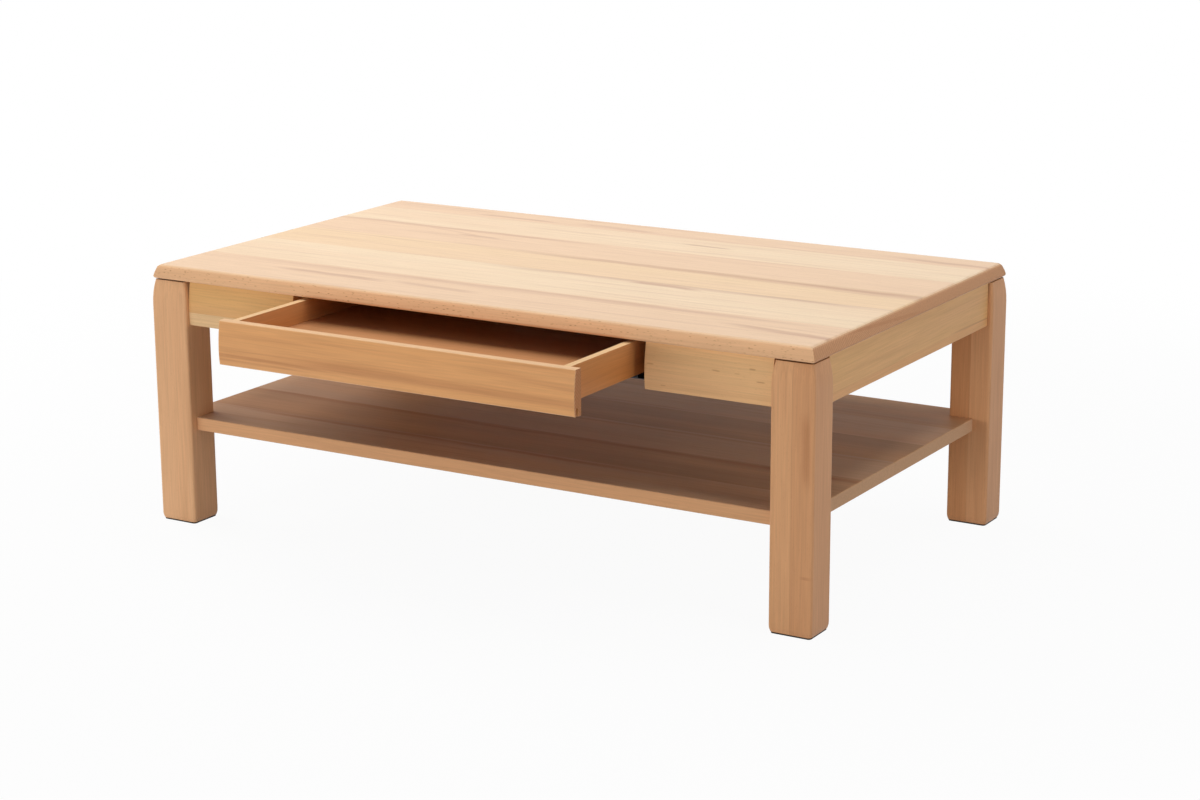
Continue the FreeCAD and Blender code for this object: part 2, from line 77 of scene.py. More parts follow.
def length_property(name, description, millimetres):
    """A length that the user may change, with its default in millimetres."""
    return FloatProperty(
        name=name, description=description, unit="LENGTH", min=0, precision=5, default=millimetres * MM
    )


class WoodSettings(PropertyGroup):
    """The beech's colours, sheen and eased edges."""

    # The top's pale staves are partly their own tone and partly painted sheen: its broad face is paler than
    # its blush edges
    cream: colour_property("Cream", "Palest staves of the top", "#E9CBA3")
    shell: colour_property("Shell", "Pale pinkish staves of the top", "#E3BC93")
    straw: colour_property("Straw", "Pale yellow staves of the top", "#E5C090")
    honey: colour_property("Honey", "Yellow staves", "#DDAC70")
    tan: colour_property("Tan", "Plain tan staves", "#DCA56C")
    rose: colour_property("Rose", "Pinkish staves", "#DAA476")
    blush: colour_property("Blush", "Pale pinkish staves of the legs", "#E1B084")
    fawn: colour_property("Fawn", "Darker pinkish staves of the legs", "#CF986C")
    # Russet is partly a redder wood and partly painted shade, for the shade under the top and inside the
    # drawer
    russet_with_shade: colour_property("Russet", "Reddish staves of the back legs", "#C48A5D")
    sand: colour_property("Sand", "Light staves of the front aprons", "#EDBE88")
    copper: colour_property("Copper", "Reddish wood of the drawer front", "#DDA26A")
    # Amber is partly the box's own warm wood and partly painted shade, darker and redder for the shade inside
    # the drawer
    amber_with_shade: colour_property("Amber", "Warm staves of the drawer box", "#C07C42")
    # The shelf's nut and dusk tones are painted shade, for the shade under the top
    shaded_nut: colour_property("Nut", "Brownish staves of the shelf", "#B48964")
    shaded_dusk: colour_property("Dusk", "Milky staves of the shelf", "#C59E7D")
    heartwood: colour_property("Heartwood", "Brown streaks of the tree's core", "#A76B43")
    fleck: colour_property("Ray fleck", "Short brown dashes in the grain", "#96602F")
    end_grain: colour_property("End grain", "Sawn ends of the boards", "#B88155")
    sheen: FloatProperty(
        name="Roughness",
        description="Roughness of the oiled surface",
        subtype="FACTOR",
        min=0,
        max=1,
        default=0.42,
    )
    ease: length_property("Eased edge", "Sanded round on the sharp edges", 0.9)


class FixingSettings(PropertyGroup):
    """The metal and plastic fittings."""

    zinc: colour_property("Zinc", "Plated bolts, brackets and screws", "#B9BCC0")
    rail: colour_property("Rail coating", "Dark coating of the runners", "#26272A")
    clip: colour_property("Clip", "Plastic of the locking clips", "#141415")
    nylon: colour_property("Pads", "Nylon of the slide pads", "#DDDACF")
    felt: colour_property("Felt", "Felt under the legs", "#3B342D")
    head: length_property("Screw head", "Diameter of the screw heads", 7.0)
    head_height: length_property("Head height", "Height of the screw heads", 2.2)
    recess_width: length_property("Recess width", "Width of the cross recess", 1.1)
    recess_depth: length_property("Recess depth", "Depth of the cross recess", 1.4)
    ease: length_property("Eased edge", "Round on pressed and moulded edges", 0.35)


class StageSettings(PropertyGroup):
    """The studio's lamps, floor and camera."""

    top_power: FloatProperty(
        name="Overhead lamp", description="Large soft lamp above the table", unit="POWER", min=0, default=60
    )
    front_power: FloatProperty(
        name="Front lamp", description="Wide low lamp before the table", unit="POWER", min=0, default=54
    )
    side_power: FloatProperty(
        name="Side lamp", description="Soft lamp at the left end", unit="POWER", min=0, default=46
    )
    fill_power: FloatProperty(
        name="Fill lamp", description="Weak soft lamp at the right", unit="POWER", min=0, default=22
    )
    ambient: FloatProperty(name="Ambient", description="Light from the white room", min=0, default=0.14)
    lens: FloatProperty(name="Lens", description="Focal length in millimetres", min=1, default=78.16)


def add(tree, kind, inputs=None, out=0, **settings):
    """Adds a node with its settings, sets or links its inputs and returns one of its outputs."""
    node = tree.nodes.new(kind)
    for name, value in settings.items():
        setattr(node, name, value)
    for key, value in (inputs or {}).items():
        if isinstance(value, bpy.types.NodeSocket):
            tree.links.new(value, node.inputs[key])
        elif hasattr(value, "__len__") and node.inputs[key].type == "RGBA":
            node.inputs[key].default_value = (*value, 1)
        else:
            node.inputs[key].default_value = value
    return node.outputs[out]


def add_end(tree, kind, last):
    """Ends a tree in its output."""
    tree.links.new(last, tree.nodes.new(kind).inputs[0])


# Settings that many nodes share: a range with soft ends, and a mix of two colours with its result
SOFT = {"interpolation_type": "SMOOTHSTEP"}
COLOURS = {"data_type": "RGBA", "out": 2}


def new_material(name):
    """An empty material and its node tree."""
    material = bpy.data.materials.new(name)
    material.use_nodes = True
    material.node_tree.nodes.clear()
    return material, material.node_tree


class Streak(NamedTuple):
    """A brown streak or fleck, in millimetres along and across the grain."""

    start: float
    end: float
    start_across: float
    end_across: float
    above: float
    below: float
    depth: float
    widen: float = 0.0


# Share of a streak's length over which each end fades away, and of its width that is full
STREAK_FADE = 0.28
STREAK_CORE = 0.1


def streak_mask(tree, along, across, wander, streak):
    """How strongly one streak colours each place."""
    start, end = streak.start * MM, streak.end * MM
    fade = STREAK_FADE * (end - start)
    share = add(tree, "ShaderNodeMapRange", {"Value": along, "From Min": start, "From Max": end})
    swing = (streak.end_across - streak.start_across) * MM
    line = {0: share, 1: swing, 2: streak.start_across * MM}
    middle = add(tree, "ShaderNodeMath", line, operation="MULTIPLY_ADD")
    middle = add(tree, "ShaderNodeMath", {0: middle, 1: wander}, operation="ADD")
    off = add(tree, "ShaderNodeMath", {0: across, 1: middle}, operation="SUBTRACT")
    above = add(tree, "ShaderNodeMath", {0: off, 1: streak.above * MM}, operation="DIVIDE")
    below = add(tree, "ShaderNodeMath", {0: off, 1: -streak.below * MM}, operation="DIVIDE")
    off = add(tree, "ShaderNodeMath", {0: above, 1: below}, operation="MAXIMUM")
    width = add(tree, "ShaderNodeMath", {0: share, 1: streak.widen, 2: 1.0}, operation="MULTIPLY_ADD")
    off = add(tree, "ShaderNodeMath", {0: off, 1: width}, operation="DIVIDE")
    fall = {"Value": off, "From Min": STREAK_CORE, "From Max": 1.0, "To Min": streak.depth, "To Max": 0.0}
    mask = add(tree, "ShaderNodeMapRange", fall, **SOFT)
    for near, far in ((start, start + fade), (end, end - fade)):
        shown = add(tree, "ShaderNodeMapRange", {"Value": along, "From Min": near, "From Max": far}, **SOFT)
        mask = add(tree, "ShaderNodeMath", {0: mask, 1: shown}, operation="MULTIPLY")
    return mask


# Beech's pattern sizes, in millimetres along and across the grain, and the noise's detail.
# Real fibres are a twentieth of this wide, and are drawn coarser so that they show.
PATTERNS = {"drift": ((900.0, 90.0), 2.0), "ring": ((420.0, 13.0), 4.0), "fibre": ((90.0, 2.4), 2.0)}
PATTERN_BEND = 0.3
# Real ray flecks are about half this size, and are drawn coarser so that they show
FLECK_SIZE = (9.0, 2.2)
SEAM_WIDTH = 0.5
SEAM_CORE = 0.2
END_RING_SPACING = 3.6
# Length of the wave pattern at a scale of 1, depth of the tree's heart below the boards
# and stretch of log between two staves, in metres
WAVE_LENGTH = math.tau / 20
HEART_DEPTH = 0.11
STAVE_SHIFT = 0.731

# Levels of each pattern between which it shows, and how strongly it then colours or shades the wood
DRIFT_RANGE = {"From Min": 0.38, "From Max": 0.72, "To Max": 0.45}
RING_RANGE = {"From Min": 0.5, "From Max": 0.78}
BREAK_RANGE = {"From Min": 0.3, "From Max": 0.7, "To Min": 0.6}
FIBRE_RANGE = {"From Min": 0.3, "From Max": 0.7, "To Min": 0.92, "To Max": 1.05}
FLECK_RANGE = {"From Min": 0.14, "From Max": 0.34, "To Max": 0.0}
FLECK_CHOICE = {"From Min": 0.35, "From Max": 0.8}
SEAM_SHADES = {"To Min": 0.86, "To Max": 1.0}
END_RING_SHARES = {"To Min": 0.7, "To Max": 1.0}
END_RING_BEND = {"Distortion": 3.0, "Detail": 2.0, "Detail Scale": 0.6}
SWAY_SHAPE = {"Scale": 7.0, "Detail": 2.0}

# How far a face lies along the board's flat, or looks to its ends, as its edges, with their painted light or
# shade, and its ends show
EDGE_SHARE_RANGE = {"From Min": 0.55, "From Max": 0.95, "To Min": 0.85, "To Max": 0.0}
END_RANGE = {"From Min": 0.5, "From Max": 0.95}

# Share of a board's flecks that show on its broad faces, and how much rougher its edges are
FACE_FLECKS = 0.25
EDGE_ROUGHNESS = 0.25
# Roughness between the fibres and on them, beside the board's own, and the fibres' height in millimetres
FIBRE_ROUGHNESS = (0.08, -0.06)
FIBRE_BUMP, FIBRE_HEIGHT = 0.15, 0.2
WOOD_IOR = 1.5


def grain_scale(size):
    """The scale that gives a pattern its size in millimetres along and across the grain."""
    along, across = size
    return (1 / (along * MM), 1 / (across * MM), 1 / (across * MM))


def core_beech(
    name, wood, grain, across, staves, streaks=(), end_streaks=(), flecks=0.12, heart=0.25, wander=6.0,
    drift_tone="rose", edge_shading_tone=None, end_tone="end_grain", gloss=0.2, sheen=0.0,
):
    """Solid heartwood beech, glued from staves, planed, sanded and oiled.

    The eye sees even tan to cream wood in long staves, soft brown core streaks along the grain, a pepper
    of short ray flecks, finer fibres, thin glue lines, darker ringed ends and a satin sheen. staves is a list
    of the millimetre at which each stave starts across the grain, and its tone.
    """
    material, tree = new_material(name)
    split = add(tree, "ShaderNodeSeparateXYZ", {0: add(tree, "ShaderNodeTexCoord", out="Object")}).node
    turned = add(tree, "ShaderNodeSeparateXYZ", {0: add(tree, "ShaderNodeTexCoord", out="Normal")}).node
    through = "XYZ".replace(grain, "").replace(across, "")
    run, rise, depth = (split.outputs[axis] for axis in (grain, across, through))

    # Staves, each with its own tone and its own stretch of the grain, and the glue lines between them
    tone, shift, seam = getattr(wood, staves[0][1]), 0.0, 1.0
    for edge, stave_tone in staves[1:]:
        past = add(tree, "ShaderNodeMath", {0: rise, 1: edge * MM}, operation="GREATER_THAN")
        tone = add(tree, "ShaderNodeMix", {0: past, 6: tone, 7: getattr(wood, stave_tone)}, **COLOURS)
        shift = add(tree, "ShaderNodeMath", {0: past, 1: STAVE_SHIFT, 2: shift}, operation="MULTIPLY_ADD")
        gap = add(tree, "ShaderNodeMath", {0: rise, 1: edge * MM}, operation="SUBTRACT")
        gap = add(tree, "ShaderNodeMath", {0: gap}, operation="ABSOLUTE")
        seam = add(tree, "ShaderNodeMath", {0: gap, 1: seam}, operation="MINIMUM")
    place = add(tree, "ShaderNodeCombineXYZ", {"X": run, "Y": rise, "Z": depth})
    apart = add(tree, "ShaderNodeCombineXYZ", {"X": shift, "Y": shift, "Z": shift})
    place = add(tree, "ShaderNodeVectorMath", {0: place, 1: apart}, operation="ADD")

    patterns = {}
    for pattern, (size, detail) in PATTERNS.items():
        fitted = add(tree, "ShaderNodeVectorMath", {0: place, 1: grain_scale(size)}, operation="MULTIPLY")
        noise = {"Vector": fitted, "Scale": 1.0, "Detail": detail, "Distortion": PATTERN_BEND}
        patterns[pattern] = add(tree, "ShaderNodeTexNoise", noise)

    # Slow drift of tone along the board, and the growth rings as faint long bands
    drift = add(tree, "ShaderNodeMapRange", {"Value": patterns["drift"], **DRIFT_RANGE}, **SOFT)
    tone = add(tree, "ShaderNodeMix", {0: drift, 6: tone, 7: getattr(wood, drift_tone)}, **COLOURS)
    bands = add(
        tree, "ShaderNodeMapRange", {"Value": patterns["ring"], **RING_RANGE, "To Max": heart}, **SOFT
    )
    tone = add(tree, "ShaderNodeMix", {0: bands, 6: tone, 7: wood.heartwood}, **COLOURS)

    # The streaks that this board shows, broken up by the rings
    if streaks:
        sway = add(tree, "ShaderNodeTexNoise", {"W": run, **SWAY_SHAPE}, noise_dimensions="1D")
        swing = {"Value": sway, "To Min": -wander * MM, "To Max": wander * MM}
        sway = add(tree, "ShaderNodeMapRange", swing)
        stain = 0.0
        for streak in streaks:
            mask = streak_mask(tree, run, rise, sway, streak)
            stain = add(tree, "ShaderNodeMath", {0: mask, 1: stain}, operation="MAXIMUM")
        broken = add(tree, "ShaderNodeMapRange", {"Value": patterns["ring"], **BREAK_RANGE})
        stain = add(tree, "ShaderNodeMath", {0: stain, 1: broken}, operation="MULTIPLY")
        tone = add(tree, "ShaderNodeMix", {0: stain, 6: tone, 7: wood.heartwood}, **COLOURS)

    # Edges take another tone as painted light or shade: the top's broad face stays paler than its edges as
    # painted sheen, and other boards' edges are painted lighter where light falls on them. There the flecks
    # show more and the sheen is lower
    between, on_fibres = (wood.sheen + sheen + more for more in FIBRE_ROUGHNESS)
    rough = add(
        tree, "ShaderNodeMapRange", {"Value": patterns["fibre"], "To Min": between, "To Max": on_fibres}
    )
    if edge_shading_tone:
        flat = add(tree, "ShaderNodeMath", {0: turned.outputs[through]}, operation="ABSOLUTE")
        edge_share = add(tree, "ShaderNodeMapRange", {"Value": flat, **EDGE_SHARE_RANGE}, **SOFT)
        tone = add(tree, "ShaderNodeMix", {0: edge_share, 6: tone, 7: getattr(wood, edge_shading_tone)}, **COLOURS)
        shown = {"Value": edge_share, "To Min": flecks * FACE_FLECKS, "To Max": flecks}
        flecks = add(tree, "ShaderNodeMapRange", shown)
        rough = add(tree, "ShaderNodeMath", {0: edge_share, 1: EDGE_ROUGHNESS, 2: rough}, operation="MULTIPLY_ADD")

    # Ray flecks: short dashes along the grain, only some of the cells showing one
    fitted = add(tree, "ShaderNodeVectorMath", {0: place, 1: grain_scale(FLECK_SIZE)}, operation="MULTIPLY")
    cells = add(tree, "ShaderNodeTexVoronoi", {"Vector": fitted, "Scale": 1.0}).node.outputs
    dash = add(
        tree, "ShaderNodeMapRange", {"Value": cells["Distance"], **FLECK_RANGE, "To Min": flecks}, **SOFT
    )
    chosen = add(tree, "ShaderNodeMapRange", {"Value": cells["Color"], **FLECK_CHOICE})
    dash = add(tree, "ShaderNodeMath", {0: dash, 1: chosen}, operation="MULTIPLY")
    tone = add(tree, "ShaderNodeMix", {0: dash, 6: tone, 7: wood.fleck}, **COLOURS)

    # Sawn ends: darker, with the rings as arcs
    facing = add(tree, "ShaderNodeMath", {0: turned.outputs[grain]}, operation="ABSOLUTE")
    end = add(tree, "ShaderNodeMapRange", {"Value": facing, **END_RANGE}, **SOFT)
    below = add(tree, "ShaderNodeCombineXYZ", {"Y": shift, "Z": HEART_DEPTH})
    sawn_at = add(tree, "ShaderNodeCombineXYZ", {"Y": rise, "Z": depth})
    sawn_at = add(tree, "ShaderNodeVectorMath", {0: sawn_at, 1: below}, operation="ADD")
    wave = {"Vector": sawn_at, "Scale": WAVE_LENGTH / (END_RING_SPACING * MM), **END_RING_BEND}
    arcs = add(tree, "ShaderNodeTexWave", wave, wave_type="RINGS", rings_direction="X")
    arcs = add(tree, "ShaderNodeMapRange", {"Value": arcs, **END_RING_SHARES})
    for streak in end_streaks:
        mask = streak_mask(tree, rise, depth, 0.0, streak)
        arcs = add(tree, "ShaderNodeMath", {0: mask, 1: arcs}, operation="ADD")
    sawn = add(tree, "ShaderNodeMath", {0: end, 1: arcs}, operation="MULTIPLY", use_clamp=True)
    tone = add(tree, "ShaderNodeMix", {0: sawn, 6: tone, 7: getattr(wood, end_tone)}, **COLOURS)

    # Fibres and glue lines darken a little
    fibre_dark = add(tree, "ShaderNodeMapRange", {"Value": patterns["fibre"], **FIBRE_RANGE})
    width = SEAM_WIDTH * MM
    glue = {"Value": seam, "From Min": SEAM_CORE * width, "From Max": width, **SEAM_SHADES}
    glue_dark = add(tree, "ShaderNodeMapRange", glue)
    dark = add(tree, "ShaderNodeMath", {0: fibre_dark, 1: glue_dark}, operation="MULTIPLY")
    tone = add(tree, "ShaderNodeVectorMath", {0: tone, "Scale": dark}, operation="SCALE")

    relief = {"Strength": FIBRE_BUMP, "Distance": FIBRE_HEIGHT * MM, "Height": patterns["fibre"]}
    bump = add(tree, "ShaderNodeBump", relief)
    finish = {
        "Base Color": tone,
        "Roughness": rough,
        "Normal": bump,
        "IOR": WOOD_IOR,
        "Specular IOR Level": gloss,
    }
    add_end(tree, "ShaderNodeOutputMaterial", add(tree, "ShaderNodeBsdfPrincipled", finish))
    return material


MOTTLE_DETAIL = 3.0
MOTTLE_BUMP = 0.3


def mottled(name, colours, size, roughness, bump_depth, metallic=0.0, stretch=(1, 1, 1)):
    """A finish of two close tones in a fine mottle, with its own roughness range and bump, in millimetres."""
    material, tree = new_material(name)
    place = add(tree, "ShaderNodeTexCoord", out="Object")
    fitted = add(tree, "ShaderNodeVectorMath", {0: place, 1: stretch}, operation="MULTIPLY")
    noise = {"Vector": fitted, "Scale": 1 / (size * MM), "Detail": MOTTLE_DETAIL}
    grit = add(tree, "ShaderNodeTexNoise", noise)
    tone = add(tree, "ShaderNodeMix", {0: grit, 6: colours[0], 7: colours[1]}, **COLOURS)
    rough = add(tree, "ShaderNodeMapRange", {"Value": grit, "To Min": roughness[0], "To Max": roughness[1]})
    bump = add(tree, "ShaderNodeBump", {"Strength": MOTTLE_BUMP, "Distance": bump_depth * MM, "Height": grit})
    finish = {"Base Color": tone, "Roughness": rough, "Metallic": metallic, "Normal": bump}
    add_end(tree, "ShaderNodeOutputMaterial", add(tree, "ShaderNodeBsdfPrincipled", finish))
    return material


def shade(colour, factor):
    """A colour made darker or lighter."""
    return tuple(min(channel * factor, 1.0) for channel in colour)


# Points nearer than this are one, faces that meet flatter than this are one, sharper edges are eased
# and edges still sharper than the last angle stay crisp
MERGE_DISTANCE = 0.005 * MM
FLAT_ANGLE = math.radians(0.4)
EDGE_ANGLE = math.radians(38)
SMOOTH_ANGLE = math.radians(34)
EASE_SEGMENTS = 3


def settle(piece):
    """Turns a piece and its modifiers into one plain mesh."""
    graph = bpy.context.evaluated_depsgraph_get()
    mesh = bpy.data.meshes.new_from_object(piece.evaluated_get(graph))
    piece.modifiers.clear()
    piece.data = mesh


def add_rounding(piece, width, limit):
    """Rounds the edges of a piece that a limit names: those over an angle, or those with a weight."""
    rounding = piece.modifiers.new("rounding", "BEVEL")
    rounding.width = width
    rounding.segments = EASE_SEGMENTS
    rounding.limit_method = limit
    rounding.angle_limit = EDGE_ANGLE
    rounding.use_clamp_overlap = True
    settle(piece)


def weigh_rim(mesh):
    """Gives a full weight to the edges round the uppermost face of a mesh, and none to the others."""
    level = max(vertex.co.z for vertex in mesh.vertices) - MERGE_DISTANCE
    raised = [all(mesh.vertices[end].co.z > level for end in edge.vertices) for edge in mesh.edges]
    weights = mesh.attributes.new("bevel_weight_edge", "FLOAT", "EDGE")
    weights.data.foreach_set("value", [float(up) for up in raised])


def eased(node, ease, material, rim=0.0):
    """A merged copy of a CAD node with its sharp edges rounded, standing for it on the same body.

    A rim rounds the edge of the uppermost face more than the others.
    """
    source = frame["nodes"][node].data
    mesh = bpy.data.meshes.new(node)
    mesh.from_pydata([v.co for v in source.vertices], [], [p.vertices[:] for p in source.polygons])
    shape = bmesh.new()
    shape.from_mesh(mesh)
    bmesh.ops.remove_doubles(shape, verts=shape.verts, dist=MERGE_DISTANCE)
    bmesh.ops.dissolve_limit(shape, angle_limit=FLAT_ANGLE, verts=shape.verts, edges=shape.edges)
    shape.to_mesh(mesh)
    shape.free()
    piece = bpy.data.objects.new(f"eased_{node}", mesh)
    bpy.context.scene.collection.objects.link(piece)
    if rim:
        weigh_rim(mesh)
        add_rounding(piece, rim, "WEIGHT")
    add_rounding(piece, ease, "ANGLE")
    piece.data.shade_smooth()
    piece.data.set_sharp_from_angle(angle=SMOOTH_ANGLE)
    normals = piece.modifiers.new("normals", "WEIGHTED_NORMAL")
    normals.keep_sharp = True
    settle(piece)
    piece.data.materials.clear()
    piece.data.materials.append(material)
    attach(piece, BODY_OF[node])
    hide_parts(node)
    return piece


# The top is handled most, so its edges are sanded rounder, and its upper rim most of all
TOP_EASE = 2.2
TOP_RIM = 6.0


class COFFEETABLE_OT_top(Operator):
    """Make the glued-up table top"""

    bl_idname = "coffee_table.top"
    bl_label = "Table Top"

    def execute(self, context):
        wood = context.scene.coffee_table_wood
        staves = [
            (-350, "shell"), (-210, "cream"), (-70, "straw"), (45, "shell"), (158, "cream"), (270, "shell"),
        ]
        streaks = [
            Streak(-640, 640, -222, -219, 9, 22.5, 0.42),
            Streak(-430, -170, -262, -270, 11, 13, 0.6),
            Streak(-190, 0, -262, -270, 11, 13, 0.42),
            Streak(390, 700, -262, -296, 10.5, 16.5, 0.6),
            Streak(-200, 660, -72, -74, 6, 19.5, 0.54),
            Streak(120, 290, -77, -88, 9, 14, 0.85),
            Streak(-300, 800, 43, 24, 7.5, 9, 0.66, 2.2),
            Streak(-700, 0, 156, 151, 6, 13.5, 0.6),
            Streak(-420, -245, 152, 114, 4.5, 6, 0.36),
            Streak(-320, -215, 117, 112, 6, 7, 0.54),
            Streak(60, 170, 226, 224, 6, 7.5, 0.6),
            Streak(-410, -200, 292, 287, 8, 9, 0.55),
            Streak(-620, -330, 320, 316, 7.5, 9, 0.36),
            Streak(-200, 0, 298, 292, 10, 11, 0.42),
            Streak(380, 720, 300, 284, 10.5, 13.5, 0.5),
        ]
        end_streaks = [Streak(-260, 40, 429, 411, 3, 3, 0.5)]
        # The top's broad face keeps its pale staves, partly as painted sheen, and its edges take the blush
        # tone
        beech = core_beech(
            "oiled core beech, top", wood, "X", "Y", staves, streaks, end_streaks,
            flecks=0.8, drift_tone="shell", edge_shading_tone="blush", gloss=0.5, sheen=-0.1
        )
        eased("table_top", wood.ease * TOP_EASE, beech, wood.ease * TOP_RIM)
        return {"FINISHED"}


class COFFEETABLE_OT_legs(Operator):
    """Make the four legs, each glued from two halves, and their felt glides"""

    bl_idname = "coffee_table.legs"
    bl_label = "Legs"

    def execute(self, context):
        wood = context.scene.coffee_table_wood
        fixing = context.scene.coffee_table_fixing
        front_staves = [(-600, "blush"), (0, "rose"), (565, "fawn")]
        # The back legs' russet halves are partly painted shade, for the shade under the top
        back_staves = [(-600, "russet_with_shade"), (-565, "fawn"), (0, "russet_with_shade"), (565, "fawn")]
        streaks = [
            Streak(215, 345, 590, 588, 9, 15, 0.5),
            Streak(89, 95, 589, 589, 12, 12, 0.45),
        ]
        front = core_beech("oiled core beech, front legs", wood, "Z", "X", front_staves, streaks, wander=2.0)
        back = core_beech("oiled core beech, back legs", wood, "Z", "X", back_staves)
        # Felt is dark and matt, with a loose mottle of fibres
        felt = mottled(
            "pressed felt", (shade(fixing.felt, 0.6), fixing.felt),
            size=1.2, roughness=(0.9, 1.0), bump_depth=0.4, stretch=(1, 1, 0.4),
        )
        for corner in CORNERS:
            eased(f"leg_{corner}", wood.ease, front if corner.startswith("front") else back)
            eased(f"glide_{corner}", fixing.ease, felt)
        return {"FINISHED"}


class COFFEETABLE_OT_aprons(Operator):
    """Make the aprons under the top"""

    bl_idname = "coffee_table.aprons"
    bl_label = "Aprons"

    def execute(self, context):
        wood = context.scene.coffee_table_wood
        lower_strip = [(335, "straw"), (357, "honey")]
        knots = [
            Streak(322, 337, 375, 375, 1.6, 1.6, 0.6),
            Streak(346, 357, 345, 345, 1.5, 1.5, 0.45),
            Streak(430, 446, 378, 377, 1.6, 1.6, 0.6),
            Streak(467, 478, 377, 377, 1.4, 1.4, 0.35),
            Streak(490, 503, 386, 386, 2.0, 2.0, 0.65),
            Streak(502, 519, 369, 369, 1.5, 1.5, 0.7),
        ]
        side_streaks = [
            Streak(120, 320, 351, 348, 2.5, 1.5, 0.5),
            Streak(-260, 40, 372, 366, 5, 6, 0.22),
        ]
        left = core_beech("oiled core beech, left front apron", wood, "X", "Z", lower_strip)
        right = core_beech(
            "oiled core beech, right front apron", wood, "X", "Z", [(335, "sand")], knots, wander=0.0
        )
        end_staves = [(335, "tan"), (349, "honey")]
        ends = core_beech(
            "oiled core beech, end aprons", wood, "Y", "Z", end_staves, side_streaks, wander=1.0
        )
        back = core_beech("oiled core beech, back apron", wood, "X", "Z", [(335, "tan"), (372, "rose")])
        for node, beech in (
            ("front_apron_left", left),
            ("front_apron_right", right),
            ("left_apron", ends),
            ("right_apron", ends),
            ("back_apron", back),
        ):
            eased(node, wood.ease, beech)
        return {"FINISHED"}


class COFFEETABLE_OT_inner_frame(Operator):
    """Make the corner blocks and the bearers that carry the runners"""

    bl_idname = "coffee_table.inner_frame"
    bl_label = "Blocks and Bearers"

    def execute(self, context):
        wood = context.scene.coffee_table_wood
        upright = core_beech("oiled beech, corner blocks", wood, "Z", "X", [(-600, "tan"), (0, "honey")])
        lengthwise = core_beech("oiled beech, bearers", wood, "Y", "Z", [(330, "tan"), (374, "honey")])
        for corner in CORNERS:
            eased(f"corner_block_{corner}", wood.ease, upright)
        for side in SIDES:
            eased(f"bearer_{side}", wood.ease, lengthwise)
        return {"FINISHED"}


class COFFEETABLE_OT_shelf(Operator):
    """Make the lower shelf"""

    bl_idname = "coffee_table.shelf"
    bl_label = "Shelf"

    def execute(self, context):
        wood = context.scene.coffee_table_wood
        # The shelf's staves are painted in shade, its front and back edges take the lighter rose as painted
        # light where light falls on them, and its ends keep the painted shade
        staves = [(-334, "shaded_dusk"), (-240, "shaded_nut"), (-126, "shaded_dusk"), (-12, "shaded_nut"), (98, "shaded_dusk"), (210, "shaded_nut")]
        streaks = [
            Streak(-900, 900, -131, -140, 9, 14, 0.8),
            Streak(-640, 360, -244, -254, 10, 12, 0.8),
            Streak(-300, 700, -28, -20, 6, 9, 0.4),
            Streak(-700, 300, 112, 104, 6, 8, 0.4),
            Streak(-100, 700, 226, 230, 8, 8, 0.4),
        ]
        beech = core_beech(
            "oiled core beech, shelf", wood, "X", "Y", staves, streaks,
            flecks=0.3, edge_shading_tone="rose", end_tone="shaded_dusk", gloss=0.25, sheen=0.15
        )
        eased("shelf", wood.ease, beech)
        return {"FINISHED"}


class COFFEETABLE_OT_drawer(Operator):
    """Make the drawer's front and box"""

    bl_idname = "coffee_table.drawer"
    bl_label = "Drawer"

    def execute(self, context):
        wood = context.scene.coffee_table_wood
        streaks = [
            Streak(-420, -60, 353, 349, 5, 5, 0.5),
            Streak(-380, -120, 345, 344, 3, 3, 0.4),
            Streak(-270, 480, 357, 350, 13, 9, 0.55),
            Streak(120, 420, 388, 366, 10, 8, 0.25),
        ]
        # The front's edges take the pale shell tone as painted light, for the light that falls on its top
        # from above; its sawn ends take the darker heartwood, partly end grain and partly painted shade
        front = core_beech(
            "oiled core beech, drawer front", wood, "X", "Z", [(335, "copper")], streaks,
            wander=1.5, edge_shading_tone="shell", end_tone="heartwood", gloss=0.3,
        )
        # The box's amber is partly painted shade, and the sides' top edges take pale straw as painted light
        # from above
        sides = core_beech(
            "oiled beech, drawer sides", wood, "Y", "Z", [(350, "amber_with_shade")], edge_shading_tone="straw", gloss=0.4
        )
        back = core_beech("oiled beech, drawer back", wood, "X", "Z", [(350, "amber_with_shade")])
        # The bottom's russet is partly painted shade, for the shade inside the drawer
        plywood = core_beech("oiled beech plywood", wood, "X", "Y", [(-600, "russet_with_shade")], heart=0.12)
        eased("drawer_front", wood.ease, front)
        for side in SIDES:
            eased(f"drawer_side_{side}", wood.ease, sides)
        eased("drawer_back", wood.ease, back)
        eased("drawer_bottom", wood.ease, plywood)
        return {"FINISHED"}


# Moulded edges are rounder than pressed ones
MOULDED_EASE = 2.0


